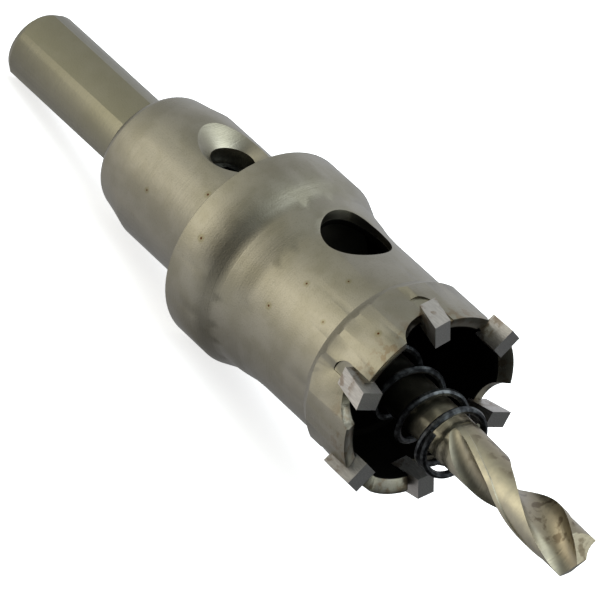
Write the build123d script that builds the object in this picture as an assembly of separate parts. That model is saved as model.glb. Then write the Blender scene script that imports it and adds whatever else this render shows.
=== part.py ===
"""Carbide-tipped hole saw with a three-flat shank, pilot drill and ejector spring.

The saw is modelled along its own axis, +Z towards the teeth, with the shank's end at z = 0, and
is then laid down as it comes to rest on a table. All dimensions are in millimetres and degrees.
Angles round the axis are counted from +X towards +Y, which is also the way the teeth cut.
"""
import math
import os

from build123d import *

os.makedirs("parts", exist_ok=True)

# ---- shank: round bar with three flats for a drill chuck --------------------------------------
SHANK_R = 5.0            # 10 mm shank
SHANK_LEN = 22.2         # end of the shank to the foot of the collar
FLAT_DIST = 4.475        # axis to each flat
FLAT_ANGLES = (33.7, 153.7, 273.7)
SHANK_CHAMFER = (0.5, 1.0)   # radial, axial

# ---- collar and depth-stop flange ----------------------------------------------------------
COLLAR_R = 9.1
COLLAR_START = 29.7      # where the domed rear meets the cylinder
DOME = ((5.0, 22.2), (6.03, 22.9), (6.95, 23.6), (7.92, 24.6), (8.29, 26.0), (8.65, 27.8))
FLANGE_R = 13.15
FLANGE_REAR = 45.2
FLANGE_FRONT = 50.7
FLANGE_EDGE = 0.15       # broken edge at the rear rim
CONE_FOOT = (12.0, 53.7)     # front cone of the flange ends here
TAPER = ((11.72, 56.0), (11.38, 58.0))

# ---- barrel and toothed ring ---------------------------------------------------------------
BARREL_R = 11.25
BARREL_START = 60.3
BARREL_END = 70.1
RING_R = 12.15
RING_START = 71.8
RIM_Z = 79.2
RIM_FLAT_R = 11.75       # the rim is flat down to this radius, then bevelled inwards
RIM_BEVEL = (10.3, 78.45)
CUP_R = 9.8
CUP_R_RING = 10.3
CUP_STEP_Z = 70.0
CUP_FLOOR = 54.0

# ---- slug hole -------------------------------------------------------------------------------
SLUG_ANGLE = 127.0
SLUG_Z = 59.95
SLUG_R = 4.35

# ---- set screw ----------------------------------------------------------------------------
SCREW_ANGLE = 130.0
SCREW_Z = 37.65
SCREW_R = 2.75           # M6, between its root and its crest
SCREW_TOP = 5.3          # axis to the socket end
SCREW_TIP = 2.35         # axis to the point
SCREW_HEX = 3.0          # across the flats
SCREW_HEX_DEPTH = 1.6
SINK_START = 7.28        # axis to the bottom of the countersink
SINK_ANGLE = 112.0

# ---- pilot drill ------------------------------------------------------------------------------
DRILL_R = 3.0
DRILL_REAR = 25.0
DRILL_POINT = 109.0      # chisel edge
POINT_ANGLE = 118.0
LIP_RELIEF = 5.0         # fall of the flanks behind the lips
HELIX_PITCH = 36.0       # one full turn of the flutes
FLUTE_START = 85.8       # the flutes run out at the surface here
FLUTE_FULL = 94.4        # and are at full depth from here
FLUTE_RISE = 0.27        # rise of the flutes per mm of the run-out
CORNER_ANGLE = 330.0     # direction of a lip's outer corner
CORNER_Z = 107.3
LAND_HALF = 37.5         # half the angle of a land
MARGIN_DEG = 13.0        # margin behind the leading edge
LAND_CLEARANCE = 0.15
WEB_R = 0.62             # half the web
BORE_R = 3.4
BORE_END = 24.0
LEAN_DIR = 270.0         # the drill leans this way in its clearance bore
LEAN_PIVOT_Z = 33.8
LEAN_DEG = 0.975

# ---- ejector spring ---------------------------------------------------------------------------
WIRE_R = 0.45
WIRE_SIDES = 8           # sides of the swept section, which keep the mesh light
SPRING_END = 190.0       # direction of the wire's front end; the coils are left handed
SPRING_FRONT_TURNS = ((0.0, 85.4), (0.5, 85.6), (1.0, 84.6), (1.5, 82.65))   # turn, height
SPRING_PITCH = 4.6       # of the open turns behind them
SPRING_REAR_TURN = 0.6   # closed part of a turn that lies on the cup floor
SPRING_R = 4.05          # to the middle of the wire
SPRING_FRONT_R = 4.38
SPRING_FLARE_TURNS = 2.2     # turns over which the coils widen to the front
SPRING_SHIFT = (-0.0093, -0.0373)    # sideways shift of the coils per mm of height

# ---- teeth --------------------------------------------------------------------------------------
TEETH = 6
FIRST_LEAD = 27.5        # angle of the first cutting edge
TIP_INNER, TIP_OUTER = 9.75, 12.85
TIP_SEAT, TIP_TOP = 76.0, 80.2
TIP_THICK = 2.2
AXIAL_RAKE = 12.0
GULLET_FLOOR = 76.35
GULLET_R = 4.5           # sweep of the gullet from its floor up to the tooth ahead
FACET_DIST = 11.69       # flat milled outside each gullet
FACET_NORMAL = -2.5      # from the cutting edge's angle

# ---- rest --------------------------------------------------------------------------------------
REST_ANGLE = 286.9       # this side of the saw faces the table


def polar(r, deg, z=0.0):
    """Point at radius r and angle deg round the saw's axis."""
    return (r * math.cos(math.radians(deg)), r * math.sin(math.radians(deg)), z)


def revolved(points, curves=()):
    """Solid of revolution of a closed (radius, height) outline."""
    edges = [Plane.XZ * Polyline(*points)] + [Plane.XZ * c for c in curves]
    return revolve(make_face(edges), Axis.Z)


# ---- cutter body ---------------------------------------------------------------------------------
def turned_blank():
    """Everything the lathe makes: shank, dome, collar, flange, barrel, ring, cup and bore."""
    chamfer_r, chamfer_z = SHANK_CHAMFER
    dome = Spline(*DOME, (COLLAR_R, COLLAR_START), tangents=((1.0, 0.55), (0.25, 1.0)))
    cone_depth = BORE_R * math.tan(math.radians(90 - 118 / 2))
    outline = [
        (COLLAR_R, COLLAR_START),
        (COLLAR_R, FLANGE_REAR),
        (FLANGE_R - FLANGE_EDGE, FLANGE_REAR),
        (FLANGE_R, FLANGE_REAR + FLANGE_EDGE),
        (FLANGE_R, FLANGE_FRONT),
        CONE_FOOT,
        *TAPER,
        (BARREL_R, BARREL_START),
        (BARREL_R, BARREL_END),
        (RING_R, RING_START),
        (RING_R, RIM_Z),
        (RIM_FLAT_R, RIM_Z),
        RIM_BEVEL,
        (CUP_R_RING, CUP_STEP_Z),
        (CUP_R, CUP_STEP_Z - 0.4),
        (CUP_R, CUP_FLOOR),
        (BORE_R, CUP_FLOOR),
        (BORE_R, BORE_END),
        (0.0, BORE_END - cone_depth),
        (0.0, 0.0),
        (SHANK_R - chamfer_r, 0.0),
        (SHANK_R, chamfer_z),
        (SHANK_R, SHANK_LEN),
    ]
    return revolved(outline, [dome])


def shank_flats():
    """Three blocks that leave the flats on the shank."""
    depth = SHANK_R
    cuts = []
    for angle in FLAT_ANGLES:
        block = Pos(FLAT_DIST + depth / 2, 0, SHANK_LEN / 2 - 1) * Box(depth, 12, SHANK_LEN + 2)
        cuts.append(Rot(0, 0, angle) * block)
    return cuts


def radial_plane(angle, z):
    """Plane at the axis whose normal points outwards at the angle; its x runs round the body."""
    return Plane(origin=(0, 0, z), x_dir=polar(1, angle + 90), z_dir=polar(1, angle))


def slug_hole():
    """Round window through one side of the barrel, to push a stuck slug out."""
    return extrude(radial_plane(SLUG_ANGLE, SLUG_Z) * Circle(SLUG_R), 16)


def screw_hole():
    """Tapped hole through one side of the collar, with a wide countersink."""
    plane = radial_plane(SCREW_ANGLE, SCREW_Z)
    hole = extrude(plane * Circle(SCREW_R), 12)
    slope = math.tan(math.radians(SINK_ANGLE / 2))
    low, high = SINK_START - 0.5, COLLAR_R + 1
    sink = Cone(SCREW_R - 0.5 * slope, SCREW_R + slope * (high - SINK_START), high - low)
    return hole + plane.location * (Pos(0, 0, (low + high) / 2) * sink)


def side_prism(points, r_in, r_out):
    """Outline in the (way of cutting, height) plane, extruded outwards from r_in to r_out."""
    plane = Plane(origin=(r_in, 0, 0), x_dir=(0, 1, 0), z_dir=(1, 0, 0))
    return extrude(plane * make_face(Polyline(*points, close=True)), r_out - r_in)


def gullet():
    """Throat in front of a rake face: its floor sweeps up to the back of the tooth ahead."""
    back = math.tan(math.radians(AXIAL_RAKE)) * (TIP_TOP - TIP_SEAT)
    behind = 0.25            # the outline starts inside the tip, whose own seat is cut as well
    top, half_way = TIP_TOP + 1, GULLET_R * math.sin(math.radians(45))
    foot, end = (-back, GULLET_FLOOR), (GULLET_R - back, GULLET_FLOOR + GULLET_R)
    sweep_edge = ThreePointArc(foot, (half_way - back, end[1] - half_way), end)
    rest = Polyline(end, (end[0], top), (-behind, top), (-back - behind, GULLET_FLOOR), foot)
    plane = Plane(origin=(8.0, 0, 0), x_dir=(0, 1, 0), z_dir=(1, 0, 0))
    return extrude(plane * make_face([sweep_edge, rest]), 7)


def gullet_facet():
    """Flat milled along the outside of the ring below each gullet."""
    wall_in = (FACET_DIST, FACET_DIST * math.sin(math.radians(-4.0)))
    wall_out = (12.02, -1.80)
    step = (wall_out[0] - wall_in[0], wall_out[1] - wall_in[1])
    beyond = (wall_out[0] + 2 * step[0], wall_out[1] + 2 * step[1])
    section = make_face(Polyline(wall_in, beyond, (14, beyond[1]), (14, 5), (FACET_DIST, 5), close=True))
    return Rot(0, 0, FACET_NORMAL) * (Pos(0, 0, BARREL_END - 0.2) * extrude(section, 10))


def seat_relief():
    """Pocket round the back of the tip that the braze flows into."""
    back = -RING_R * math.sin(math.radians(15.5))
    plane = Plane(origin=(11.55, 0, 0), x_dir=(0, 1, 0), z_dir=(1, 0, 0))
    outline = FilletPolyline(
        (-1.2, TIP_TOP), (-1.2, 73.6), (back, 73.6), (back, TIP_TOP), radius=(0.1, 1.9)
    )
    face = make_face([outline, Line((back, TIP_TOP), (-1.2, TIP_TOP))])
    pocket = extrude(plane * face, 3)
    rim = -RING_R * math.sin(math.radians(14.5))
    bevel = side_prism([(rim, RIM_Z + 0.01), (-TIP_THICK - 0.25, 78.3), (-1.0, 78.3), (-1.0, 81), (rim, 81)], 8, 15)
    return pocket, bevel


def carbide_tip():
    """One brazed tip: square nosed, its rake face leaning forward, its back edge eased."""
    back = math.tan(math.radians(AXIAL_RAKE)) * (TIP_TOP - TIP_SEAT)
    side = [(0, TIP_TOP), (-back, TIP_SEAT), (-back - TIP_THICK, TIP_SEAT), (-TIP_THICK, TIP_TOP - 0.12)]
    return side_prism(side, TIP_INNER, TIP_OUTER)


def cutter_body():
    body = turned_blank()
    body -= shank_flats()
    body -= slug_hole()
    body -= screw_hole()
    for k in range(TEETH):
        turn = Rot(0, 0, FIRST_LEAD + 360 / TEETH * k)
        cuts = [gullet(), gullet_facet(), *seat_relief(), carbide_tip()]
        body -= [turn * cut for cut in cuts]
    return body


# ---- set screw --------------------------------------------------------------------------------
def set_screw():
    """Socket set screw whose point bears on the drill's flat."""
    plane = radial_plane(SCREW_ANGLE, SCREW_Z)
    screw = Pos(0, 0, (SCREW_TIP + SCREW_TOP) / 2) * Cylinder(SCREW_R, SCREW_TOP - SCREW_TIP)
    screw = chamfer(screw.edges(), 0.3)
    socket = extrude(Pos(0, 0, SCREW_TOP) * RegularPolygon(SCREW_HEX / 2, 6, major_radius=False), -SCREW_HEX_DEPTH)
    return plane.location * (screw - socket)


# ---- pilot drill ------------------------------------------------------------------------------
def lean(shape):
    """Tilt a shape with the pilot drill, which leans in its clearance bore."""
    direction = polar(1, LEAN_DIR - 270)
    pivot = Axis((0, 0, LEAN_PIVOT_Z), direction)
    return shape.rotate(pivot, LEAN_DEG)


def drill_section(rise=0.0, clearance=LAND_CLEARANCE):
    """Two-flute section; the rise lifts the flutes outwards, as where the cutter leaves them."""
    # circle of the flute at full depth: through the web and both edges of the flute
    half = math.radians(90 - LAND_HALF)
    edge_x, edge_y = DRILL_R * math.cos(half), DRILL_R * math.sin(half)
    centre = (edge_x**2 + edge_y**2 - WEB_R**2) / (2 * (edge_x - WEB_R))
    radius, centre = centre - WEB_R, centre + rise

    def flute_edge(r):
        """Half the angle of the flute where it meets radius r."""
        return math.degrees(math.acos((centre**2 + r**2 - radius**2) / (2 * centre * r)))

    relief = DRILL_R - clearance
    lead, heel = 90 - flute_edge(DRILL_R), flute_edge(relief) - 90
    margin = lead - MARGIN_DEG
    step = margin - 2
    edges = []
    for turn in (0, 180):
        edges += [
            ThreePointArc(polar(DRILL_R, lead + turn), polar(DRILL_R, lead - MARGIN_DEG / 2 + turn),
                          polar(DRILL_R, margin + turn)),
            Line(polar(DRILL_R, margin + turn), polar(relief, step + turn)),
            ThreePointArc(polar(relief, step + turn), polar(relief, (step + heel) / 2 + turn),
                          polar(relief, heel + turn)),
            ThreePointArc(polar(relief, heel + turn), polar(centre - radius, -90 + turn),
                          polar(DRILL_R, lead - 180 + turn)),
        ]
    return make_face(edges)


def point_cut():
    """Two blocks that leave the flanks: each contains a lip and falls away behind it."""
    fall = math.tan(math.radians(90 - POINT_ANGLE / 2))
    relief = math.tan(math.radians(LIP_RELIEF))
    lip = CORNER_ANGLE - 10 + 360 * (DRILL_POINT - CORNER_Z) / HELIX_PITCH
    cuts = []
    for turn in (0, 180):
        u, v = polar(1, lip + turn), polar(1, lip + turn + 90)
        normal = [fall * u[k] - relief * v[k] for k in (0, 1)] + [1]
        plane = Plane(origin=(0, 0, DRILL_POINT), z_dir=normal)
        cuts.append(plane.location * (Pos(0, 0, 5) * Box(30, 30, 10)))
    return cuts


def pilot_drill():
    per_mm = 360 / HELIX_PITCH
    start = CORNER_ANGLE - LAND_HALF - (CORNER_Z - FLUTE_FULL) * per_mm
    length = DRILL_POINT + 1 - FLUTE_FULL
    section = Rot(0, 0, start) * drill_section()
    fluted = Solid.extrude_linear_with_rotation(section.face(), (0, 0, 0), (0, 0, length), length * per_mm)
    fluted = Pos(0, 0, FLUTE_FULL) * fluted
    steps = 4
    sections = []
    for k in range(steps + 1):
        back = (FLUTE_FULL - FLUTE_START) * k / steps
        fade = LAND_CLEARANCE * (1 - 0.9 * k / steps)
        sections.append(Pos(0, 0, FLUTE_FULL - back) * Rot(0, 0, start - back * per_mm)
                        * drill_section(FLUTE_RISE * back, fade))
    run_out = loft(sections[::-1])
    plain = Pos(0, 0, (DRILL_REAR + FLUTE_START) / 2) * Cylinder(DRILL_R, FLUTE_START - DRILL_REAR)
    plain = chamfer(plain.edges().sort_by(Axis.Z)[0], 0.5)
    drill = lean((plain + run_out + fluted) - point_cut())
    flat = radial_plane(SCREW_ANGLE, SCREW_Z).location * (Pos(0, 0, SCREW_TIP + 2) * Box(8, 9, 4))
    return drill - flat


# ---- ejector spring ---------------------------------------------------------------------------
def spring_path():
    """Centre line of the wire: a closed front turn, open coils, and a closed end on the floor."""
    floor = CUP_FLOOR + WIRE_R + 0.03
    turn, height = SPRING_FRONT_TURNS[-1]
    on_floor = turn + (height - floor) / SPRING_PITCH
    nodes = [*SPRING_FRONT_TURNS, (on_floor, floor), (on_floor + SPRING_REAR_TURN, floor)]
    turns = nodes[-1][0]
    steps = round(turns * 6)
    points = []
    for i in range(steps + 1):
        t = turns * i / steps                     # turns counted back from the front end
        (t0, z0), (t1, z1) = next(pair for pair in zip(nodes, nodes[1:]) if t <= pair[1][0] + 1e-9)
        z = z0 + (z1 - z0) * (t - t0) / (t1 - t0)
        radius = SPRING_FRONT_R + (SPRING_R - SPRING_FRONT_R) * min(1.0, t / SPRING_FLARE_TURNS)
        x, y, _ = polar(radius, SPRING_END + 360 * t)
        points.append((x + SPRING_SHIFT[0] * (z - CUP_FLOOR), y + SPRING_SHIFT[1] * (z - CUP_FLOOR), z))
    return points


def ejector_spring():
    path = Spline(*spring_path())
    start = Plane(origin=path @ 0, z_dir=path % 0)
    return sweep(start * RegularPolygon(WIRE_R, WIRE_SIDES), path=path)


# ---- assembly ----------------------------------------------------------------------------------
def build():
    """Every piece in the saw's own frame."""
    parts = {"cutter_body": cutter_body()}
    for k in range(TEETH):
        parts[f"carbide_tip_{k + 1}"] = Rot(0, 0, FIRST_LEAD + 360 / TEETH * k) * carbide_tip()
    parts["set_screw"] = set_screw()
    parts["pilot_drill"] = pilot_drill()
    parts["ejector_spring"] = ejector_spring()
    return parts


def flatted_drop(radius):
    """How far the flatted shank, round at that radius, reaches towards the table."""
    beside = min(abs(angle - REST_ANGLE) for angle in FLAT_ANGLES)
    half_flat = math.degrees(math.acos(FLAT_DIST / radius))
    return radius * math.cos(math.radians(max(half_flat - beside, 0)))


def lying(parts):
    """Lay the saw down: the flange's rear rim and the shank's end touch the table.

    The teeth point along +X and a little upwards. The origin is on the table, under the middle
    of the whole saw's length and width.
    """
    rim_z = FLANGE_REAR + FLANGE_EDGE
    chamfer_r, chamfer_z = SHANK_CHAMFER
    touches = [(flatted_drop(SHANK_R - chamfer_r), 0.0), (flatted_drop(SHANK_R), chamfer_z)]
    nose_up, drop, z = min((math.atan2(FLANGE_R - d, rim_z - z), d, z) for d, z in touches)
    turn = Rot(0, 90 - math.degrees(nose_up), 0) * Rot(0, 0, -REST_ANGLE)
    laid = {name: turn * shape for name, shape in parts.items()}
    boxes = [shape.bounding_box() for shape in laid.values()]
    x_mid = (min(b.min.X for b in boxes) + max(b.max.X for b in boxes)) / 2
    height = drop * math.cos(nose_up) - z * math.sin(nose_up)
    print("nose up", round(math.degrees(nose_up), 4), "moved", round(-x_mid, 4), 0, round(height, 4))
    return {name: Pos(-x_mid, 0, height) * shape for name, shape in laid.items()}


for name, shape in lying(build()).items():
    export_step(shape, f"parts/{name}.step")
    print(name, round(shape.volume, 1), shape.bounding_box().min, shape.bounding_box().max)
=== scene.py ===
# %% [markdown]
# # Hole saw
# A carbide-tipped hole saw lies on a table: shank with three flats, collar with a set screw,
# depth-stop flange, thin barrel with a slug window, six brazed tips, a pilot drill and an
# ejector spring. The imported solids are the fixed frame; this lesson adds finishes and fine
# detail on top of them.

# %% Load the frame
import math
import bpy
from mathutils import Matrix, Vector


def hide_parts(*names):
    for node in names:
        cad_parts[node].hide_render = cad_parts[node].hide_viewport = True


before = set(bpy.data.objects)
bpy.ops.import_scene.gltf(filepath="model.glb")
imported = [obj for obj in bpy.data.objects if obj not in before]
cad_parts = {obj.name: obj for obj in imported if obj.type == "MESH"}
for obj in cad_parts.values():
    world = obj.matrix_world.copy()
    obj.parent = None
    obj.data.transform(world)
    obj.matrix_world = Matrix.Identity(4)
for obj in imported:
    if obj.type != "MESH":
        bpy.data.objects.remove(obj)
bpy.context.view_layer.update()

bpy.ops.object.select_all(action="DESELECT")

# %% [markdown]
# The saw lies nose-up on its flange and shank end, so points are easier to name along its own
# axis. One matrix turns "millimetres from the shank's end, radius and angle round the axis"
# into the table's metres.

# %% The saw's own axis
NOSE_UP = 10.5801
REST_ANGLE = 286.9
SHIFT = Vector((-53.3033, 0.0, 4.5997))
to_table = (
    Matrix.Translation(SHIFT)
    @ Matrix.Rotation(math.radians(90 - NOSE_UP), 4, "Y")
    @ Matrix.Rotation(math.radians(-REST_ANGLE), 4, "Z")
)


def saw_point(radius, angle, height):
    """Metres on the table for a point named in the saw's own polar millimetres."""
    a = math.radians(angle)
    return (to_table @ Vector((radius * math.cos(a), radius * math.sin(a), height))) / 1000

# %% [markdown]
# Colours are written as the hex values that a designer would pick and turned to linear light
# by one function. One more function adds a shader node with its settings and links.

# %% Colour and node helpers
def colour(hex_value):
    channels = [int(hex_value[i:i + 2], 16) / 255 for i in (1, 3, 5)]
    return [c / 12.92 if c <= 0.04045 else ((c + 0.055) / 1.055) ** 2.4 for c in channels] + [1.0]


def add_node(tree, kind, settings=None, **links):
    node = tree.nodes.new(kind)
    for key, value in (settings or {}).items():
        if isinstance(key, int) or key in node.inputs:
            node.inputs[key].default_value = value
        else:
            setattr(node, key, value)
    for key, source in links.items():
        tree.links.new(source, node.inputs[key.replace("_", " ")])
    return node

# %% [markdown]
# Every finish needs to know where it is on the saw: inside or outside the cup, near the teeth,
# in the screw's sink. One group turns the table position of a point into the saw's own radius
# and height in millimetres, and passes on the local point for grain that runs round the axis.

# %% Where a point is on the saw
def saw_coordinates():
    group = bpy.data.node_groups.new("saw_coordinates", "ShaderNodeTree")
    for label, kind in (("Point", "NodeSocketVector"), ("Radius", "NodeSocketFloat"),
                        ("Height", "NodeSocketFloat"), ("Round", "NodeSocketVector")):
        group.interface.new_socket(label, in_out="OUTPUT", socket_type=kind)
    place = add_node(group, "ShaderNodeTexCoord").outputs["Object"]
    back_to_saw = to_table.inverted()
    rows = []
    for row in range(3):
        axis = Vector(back_to_saw[row][:3]) * 1000
        dot = add_node(group, "ShaderNodeVectorMath", {"operation": "DOT_PRODUCT", 1: axis}, Vector=place)
        step = add_node(group, "ShaderNodeMath", {"operation": "ADD", 1: back_to_saw[row][3]},
                        Value=dot.outputs["Value"])
        rows.append(step.outputs[0])
    point = add_node(group, "ShaderNodeCombineXYZ", X=rows[0], Y=rows[1], Z=rows[2])
    flat = add_node(group, "ShaderNodeCombineXYZ", X=rows[0], Y=rows[1])
    radius = add_node(group, "ShaderNodeVectorMath", {"operation": "LENGTH"}, Vector=flat.outputs[0])
    way = add_node(group, "ShaderNodeVectorMath", {"operation": "NORMALIZE"}, Vector=flat.outputs[0])
    sides = add_node(group, "ShaderNodeSeparateXYZ", Vector=way.outputs[0])
    around = add_node(group, "ShaderNodeCombineXYZ", X=sides.outputs[0], Y=sides.outputs[1], Z=rows[2])
    output = add_node(group, "NodeGroupOutput", Point=point.outputs[0], Height=rows[2])
    group.links.new(radius.outputs["Value"], output.inputs["Radius"])
    group.links.new(around.outputs[0], output.inputs["Round"])
    return group


def band(tree, value, low, high, flip=False):
    """Smooth 0 to 1 between two sizes, or 1 to 0 when flipped."""
    ends = (1.0, 0.0) if flip else (0.0, 1.0)
    return add_node(tree, "ShaderNodeMapRange",
                    {"interpolation_type": "SMOOTHSTEP", 1: low, 2: high, 3: ends[0], 4: ends[1]},
                    Value=value).outputs[0]


def times(tree, one, two):
    node = add_node(tree, "ShaderNodeMath", {"operation": "MULTIPLY"})
    for socket, value in zip(node.inputs, (one, two)):
        if isinstance(value, (int, float)):
            socket.default_value = value
        else:
            tree.links.new(value, socket)
    return node.outputs[0]


def blend(tree, amount, under, over):
    """Lay one colour over another by an amount; each is a hex value or a socket."""
    node = add_node(tree, "ShaderNodeMix", {"data_type": "RGBA"})
    tree.links.new(amount, node.inputs["Factor"])
    for socket, value in ((node.inputs[6], under), (node.inputs[7], over)):
        if isinstance(value, str):
            socket.default_value = colour(value)
        else:
            tree.links.new(value, socket)
    return node.outputs[2]


def noise(tree, place, scale, detail=2.0, stretch=None):
    """Noise whose scale is given per millimetre of the saw's own point."""
    if stretch:
        place = add_node(tree, "ShaderNodeMapping", {"Scale": stretch}, Vector=place).outputs[0]
    texture = add_node(tree, "ShaderNodeTexNoise", {"Scale": scale, "Detail": detail}, Vector=place)
    return texture.outputs["Fac"]


def spots(tree, point, places):
    """Small round marks at named points: (radius, angle, height, size) in the saw's millimetres."""
    total = None
    for radius, angle, height, size in places:
        a = math.radians(angle)
        centre = Vector((radius * math.cos(a), radius * math.sin(a), height))
        gap = add_node(tree, "ShaderNodeVectorMath", {"operation": "DISTANCE", 1: centre}, Vector=point)
        mark = band(tree, gap.outputs["Value"], size * 0.45, size, flip=True)
        if total is None:
            total = mark
            continue
        darker = add_node(tree, "ShaderNodeMath", {"operation": "MAXIMUM"})
        tree.links.new(total, darker.inputs[0])
        tree.links.new(mark, darker.inputs[1])
        total = darker.outputs[0]
    return total


on_saw = saw_coordinates()


def finish(name, roughness):
    """A new metal finish with its shader and the saw's own coordinates."""
    material = bpy.data.materials.new(name)
    material.use_nodes = True
    tree = material.node_tree
    shader = tree.nodes["Principled BSDF"]
    shader.inputs["Roughness"].default_value = roughness
    shader.inputs["Metallic"].default_value = 1.0
    place = add_node(tree, "ShaderNodeGroup", {"node_tree": on_saw})
    return material, tree, shader, place.outputs


def bump(tree, shader, height, depth_mm):
    node = add_node(tree, "ShaderNodeBump", {"Strength": 1.0, "Distance": depth_mm / 1000},
                    Height=height)
    tree.links.new(node.outputs[0], shader.inputs["Normal"])

# %% [markdown]
# The body is turned and lightly blasted tool steel: a fine grain, faint rings from the lathe,
# olive-grey mottling, brown heat tint round the brazed tips and a few rust specks. The cup's
# hollow is painted nearly black as painted shade.

# %% Body steel
CUP_SHADE_RADIUS = (10.42, 10.55)    # radius where the painted shade in the cup begins to give way to the rim
CUP_SHADE_FLOOR = (53.8, 54.1)       # height where the painted shade in the cup starts
BORE = (2.0, 2.2)              # radius kept clear round the pilot drill's middle
HEATED = (74.6, 79.0)          # brazing heat reaches back from the rim this far
SHANK_END = (21.8, 23.0)       # the shank's duller tone fades out here
RUST = [  # radius, angle, height and size of each brown speck
    (13.15, 196, 48.2, 0.22), (9.1, 176, 41.8, 0.2), (9.1, 205, 34.0, 0.16), (11.3, 176, 62.8, 0.18),
    (11.3, 201, 60.4, 0.2), (11.3, 158, 66.4, 0.16), (12.15, 170, 75.6, 0.2), (11.3, 186, 68.2, 0.14),
]


def body_steel():
    material, tree, shader, place = finish("blasted_tool_steel", 0.3)
    mottle = noise(tree, place["Point"], 0.28, 4.0)
    rings = noise(tree, place["Round"], 1.0, 3.0, stretch=(0.6, 0.6, 7.0))
    grain = noise(tree, place["Point"], 5.5, 3.0)
    steel = blend(tree, band(tree, mottle, 0.36, 0.66), "#858172", "#8f8b7e")
    steel = blend(tree, times(tree, band(tree, grain, 0.52, 0.75), 0.35), steel, "#6f6b5c")
    shank = band(tree, place["Height"], *SHANK_END, flip=True)
    steel = blend(tree, times(tree, shank, 0.6), steel, "#7a7762")
    patches = band(tree, noise(tree, place["Point"], 0.9, 3.0), 0.5, 0.62)
    heat = times(tree, band(tree, place["Height"], *HEATED), patches)
    steel = blend(tree, times(tree, heat, 0.5), steel, "#6b5538")
    halo = spots(tree, place["Point"], [(r, a, h, s * 3.2) for r, a, h, s in RUST])
    steel = blend(tree, times(tree, halo, 0.4), steel, "#6d6640")
    steel = blend(tree, spots(tree, place["Point"], RUST), steel, "#4a2c1a")
    # Painted shade: the cup's hollow, past its floor and clear of the bore, is blended to near-black and
    # made rougher.
    past_floor = times(tree, band(tree, place["Height"], *CUP_SHADE_FLOOR), band(tree, place["Radius"], *BORE))
    inside = times(tree, band(tree, place["Radius"], *CUP_SHADE_RADIUS, flip=True), past_floor)
    steel = blend(tree, inside, steel, "#0b0a08")
    tree.links.new(steel, shader.inputs["Base Color"])
    worn = add_node(tree, "ShaderNodeMapRange", {1: 0.0, 2: 1.0, 3: 0.25, 4: 0.34},
                    Value=mottle).outputs[0]
    rough = add_node(tree, "ShaderNodeMath", {"operation": "MULTIPLY_ADD", 1: 0.5}, Value=inside)
    tree.links.new(worn, rough.inputs[2])
    tree.links.new(rough.outputs[0], shader.inputs["Roughness"])
    height = add_node(tree, "ShaderNodeMath", {"operation": "ADD"})
    tree.links.new(grain, height.inputs[0])
    tree.links.new(times(tree, rings, 0.8), height.inputs[1])
    bump(tree, shader, height.outputs[0], 0.02)
    return material

# %% [markdown]
# The pilot drill is ground high-speed steel with a thin straw colour, browner down in its flutes
# where chips have rubbed, with painted shade where it stands in the cup. The tips are sintered carbide,
# an even mid grey with the fine lines of the grinding wheel. The spring and the screw are blackened.

# %% Drill, carbide and dark finishes
def drill_steel():
    material, tree, shader, place = finish("ground_high_speed_steel", 0.34)
    stain = noise(tree, place["Point"], 0.6, 5.0)
    core = band(tree, place["Radius"], 2.1, 2.9, flip=True)
    steel = blend(tree, band(tree, stain, 0.35, 0.65), "#a09b8a", "#b0aa95")
    steel = blend(tree, times(tree, core, 0.55), steel, "#7b6e58")
    steel = blend(tree, times(tree, times(tree, core, band(tree, stain, 0.52, 0.64)), 0.7), steel, "#4f4232")
    # Painted shade: the drill is blended towards dark grey where it stands within the cup.
    drill_cup_shade = band(tree, place["Height"], 78.0, 83.0, flip=True)
    steel = blend(tree, times(tree, drill_cup_shade, 0.75), steel, "#4a4740")
    tree.links.new(steel, shader.inputs["Base Color"])
    lines = noise(tree, place["Round"], 1.0, 2.0, stretch=(3.0, 3.0, 6.0))
    bump(tree, shader, lines, 0.02)
    return material


def tip_carbide():
    material, tree, shader, place = finish("ground_tungsten_carbide", 0.42)
    grind = noise(tree, place["Point"], 1.0, 3.0, stretch=(7.0, 7.0, 0.8))
    spot = noise(tree, place["Point"], 0.9, 3.0)
    steel = blend(tree, band(tree, grind, 0.4, 0.65), "#a5a29f", "#b4b1ad")
    brown = times(tree, band(tree, place["Height"], 77.6, 78.9, flip=True), band(tree, spot, 0.46, 0.58))
    steel = blend(tree, times(tree, brown, 0.6), steel, "#6a563f")
    tree.links.new(steel, shader.inputs["Base Color"])
    bump(tree, shader, grind, 0.012)
    return material


def dark_steel(name, light, dark, roughness):
    material, tree, shader, place = finish(name, roughness)
    worn = noise(tree, place["Point"], 1.4, 4.0)
    tree.links.new(blend(tree, band(tree, worn, 0.4, 0.68), dark, light), shader.inputs["Base Color"])
    bump(tree, shader, noise(tree, place["Point"], 6.0, 2.0), 0.01)
    return material


finishes = {
    "cutter_body": body_steel(),
    "pilot_drill": drill_steel(),
    "ejector_spring": dark_steel("dark_spring_wire", "#55585a", "#2c2d2f", 0.34),
    "set_screw": dark_steel("blackened_screw_steel", "#4a4d50", "#2f3235", 0.36),
    "carbide": tip_carbide(),
}
for name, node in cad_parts.items():
    node.data.materials.clear()
    node.data.materials.append(finishes.get(name, finishes["carbide"]))
print("finishes", [m.name for m in finishes.values()])

# %% [markdown]
# The real body has no razor-sharp arrises, and its taper runs as one smooth curve. The packed
# mesh is copied and its loose corners are merged; then a small rounding and smooth normals are
# put on, and the copy takes the node's place.

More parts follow.
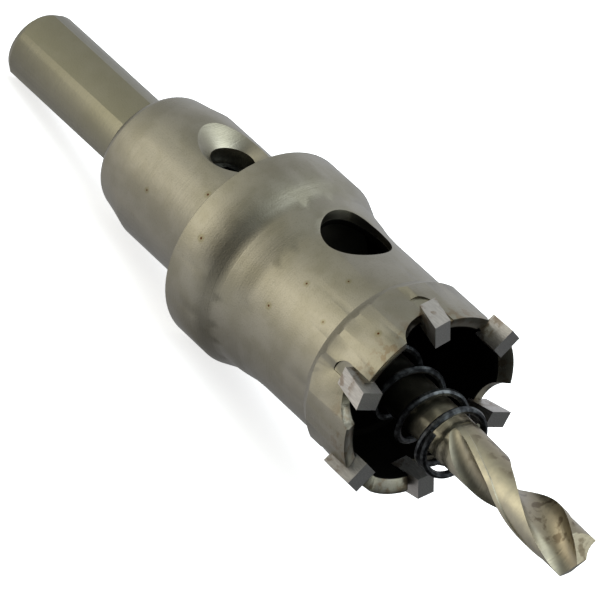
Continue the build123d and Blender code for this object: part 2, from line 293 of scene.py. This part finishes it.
# %% Body with eased edges
def eased_copy(node, width_mm, smooth_angle):
    bpy.ops.object.select_all(action="DESELECT")
    piece = node.copy()
    piece.data = node.data.copy()
    piece.name = node.name + "_eased"
    bpy.context.scene.collection.objects.link(piece)
    bpy.context.view_layer.objects.active = piece
    piece.select_set(True)
    bpy.ops.object.mode_set(mode="EDIT")
    bpy.ops.mesh.select_all(action="SELECT")
    bpy.ops.mesh.remove_doubles(threshold=0.000002)
    bpy.ops.object.mode_set(mode="OBJECT")
    edge = piece.modifiers.new("eased_edges", "BEVEL")
    edge.width = width_mm / 1000
    edge.segments = 2
    edge.limit_method = "ANGLE"
    edge.angle_limit = math.radians(28)
    edge.use_clamp_overlap = True
    bpy.ops.object.modifier_apply(modifier=edge.name)
    bpy.ops.object.shade_smooth_by_angle(angle=math.radians(smooth_angle), keep_sharp_edges=False)
    piece.select_set(False)
    return piece


EASED_EDGE = 0.06          # mm of rounding on the body's arrises
SMOOTH_UNDER = 24          # degrees between faces that shade as one surface
body = eased_copy(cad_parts["cutter_body"], EASED_EDGE, SMOOTH_UNDER)
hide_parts("cutter_body")
print("eased body", len(body.data.polygons), "faces")

# %% [markdown]
# A satin metal has hardly any colour of its own: what the eye reads is the studio that it
# mirrors. The studio is a world of a few soft boxes, each a smooth round lobe with a direction,
# a sharpness and a colour. The directions are given round the saw's own axis, like the points
# on it. The camera sees plain white instead, and so does the floor's own look.

# %% Studio light
SOFT_BOXES = {
    # name: (angle round the axis, tilt towards the teeth, sharpness, colour and strength)
    "key": (198.1, -39.4, 12.2, (2.0, 1.91, 1.64)),
    "overhead": (105.4, 37.0, 5.9, (3.88, 4.2, 4.29)),
    "backdrop": (54.5, -28.6, 3.2, (0.81, 0.83, 0.88)),
    "low_left": (244.6, -14.8, 10.3, (0.69, 0.70, 0.71)),
    "fill": (151.3, -44.4, 6.4, (0.82, 0.82, 0.72)),
    "under": (272.6, -53.7, 3.6, (0.60, 0.59, 0.585)),
}


def saw_direction(angle, tilt):
    """Unit vector on the table for a direction named round the saw's axis."""
    a, t = math.radians(angle), math.radians(tilt)
    local = Vector((math.cos(a) * math.cos(t), math.sin(a) * math.cos(t), math.sin(t)))
    return to_table.to_3x3() @ local


world = bpy.context.scene.world or bpy.data.worlds.new("studio")
bpy.context.scene.world = world
world.use_nodes = True
tree = world.node_tree
tree.nodes.clear()
ray = add_node(tree, "ShaderNodeTexCoord").outputs["Generated"]
total = None
for name, (angle, tilt, sharpness, strength) in SOFT_BOXES.items():
    facing = add_node(tree, "ShaderNodeVectorMath",
                      {"operation": "DOT_PRODUCT", 1: saw_direction(angle, tilt)}, Vector=ray)
    fall = add_node(tree, "ShaderNodeMath", {"operation": "MULTIPLY_ADD", 1: sharpness, 2: -sharpness})
    tree.links.new(facing.outputs["Value"], fall.inputs[0])
    lobe = add_node(tree, "ShaderNodeMath", {"operation": "EXPONENT"}, Value=fall.outputs[0])
    glow = add_node(tree, "ShaderNodeVectorMath", {"operation": "SCALE", 0: strength},
                    Scale=lobe.outputs[0])
    if total is None:
        total = glow.outputs[0]
    else:
        both = add_node(tree, "ShaderNodeVectorMath", {"operation": "ADD"})
        tree.links.new(total, both.inputs[0])
        tree.links.new(glow.outputs[0], both.inputs[1])
        total = both.outputs[0]
path = add_node(tree, "ShaderNodeLightPath")
studio = add_node(tree, "ShaderNodeBackground", {"Strength": 1.0}, Color=total)
plain = add_node(tree, "ShaderNodeBackground", {"Color": (1, 1, 1, 1), "Strength": 1.0})
mix = add_node(tree, "ShaderNodeMixShader", Fac=path.outputs["Is Camera Ray"])
tree.links.new(studio.outputs[0], mix.inputs[1])
tree.links.new(plain.outputs[0], mix.inputs[2])
add_node(tree, "ShaderNodeOutputWorld", Surface=mix.outputs[0])

# %% [markdown]
# The table is a plain white sheet. The camera sees it as white with a faint shadow; mirror and
# shadow rays pass through it, so the metal keeps mirroring the studio.

# %% Floor
bpy.ops.mesh.primitive_plane_add(size=6.0, location=(0, 0, 0))
floor = bpy.context.object
floor.name = "table_top"
white = bpy.data.materials.new("white_table")
white.use_nodes = True
tree = white.node_tree
tree.nodes.clear()
path = add_node(tree, "ShaderNodeLightPath")
matt = add_node(tree, "ShaderNodeBsdfDiffuse", {"Color": colour("#e8e8e8")})
glow = add_node(tree, "ShaderNodeEmission", {"Color": (1, 1, 1, 1), "Strength": 0.75})
lit = add_node(tree, "ShaderNodeAddShader")
tree.links.new(matt.outputs[0], lit.inputs[0])
tree.links.new(glow.outputs[0], lit.inputs[1])
seen = add_node(tree, "ShaderNodeMixShader", Fac=path.outputs["Is Camera Ray"])
tree.links.new(matt.outputs[0], seen.inputs[1])
tree.links.new(lit.outputs[0], seen.inputs[2])
clear = add_node(tree, "ShaderNodeBsdfTransparent")
either = add_node(tree, "ShaderNodeMath", {"operation": "MAXIMUM"})
tree.links.new(path.outputs["Is Glossy Ray"], either.inputs[0])
tree.links.new(path.outputs["Is Shadow Ray"], either.inputs[1])
mix = add_node(tree, "ShaderNodeMixShader", Fac=either.outputs[0])
tree.links.new(seen.outputs[0], mix.inputs[1])
tree.links.new(clear.outputs[0], mix.inputs[2])
add_node(tree, "ShaderNodeOutputMaterial", Surface=mix.outputs[0])
floor.data.materials.append(white)

# %% [markdown]
# A long lens looks at the saw from above its shank. Its stand is named by the point it aims at,
# the distance from there, the tilt of its line of sight and its roll round that line.

# %% Camera
LENS = 390.03                           # mm, on a 36 mm sensor
AIM = Vector((0.0, -1.11481, 55.30621))  # the saw's own millimetres
DISTANCE = 758.03734                    # mm from the aim to the lens
TILT = 36.790100                        # degrees between the line of sight and square to the axis
ROLL = 47.273225                        # degrees round the line of sight
camera_data = bpy.data.cameras.new("camera")
camera = bpy.data.objects.new("camera", camera_data)
bpy.context.scene.collection.objects.link(camera)
camera_data.lens = LENS
camera_data.sensor_width = 36
camera_data.clip_start, camera_data.clip_end = 0.05, 10
tilt, roll = math.radians(TILT), math.radians(ROLL)
sideways = Vector((0.0, 1.0, 0.0))
along = Vector((math.sin(tilt), 0.0, math.cos(tilt)))
right = math.cos(roll) * sideways + math.sin(roll) * along
up = math.sin(roll) * sideways - math.cos(roll) * along
back = Vector((-math.cos(tilt), 0.0, math.sin(tilt)))
stand = to_table @ (AIM + DISTANCE * back)
camera.matrix_world = Matrix.Translation(stand / 1000) @ (
    to_table.to_3x3() @ Matrix((right, up, back)).transposed()).to_4x4()
bpy.context.scene.camera = camera
bpy.context.scene.view_settings.view_transform = "Standard"
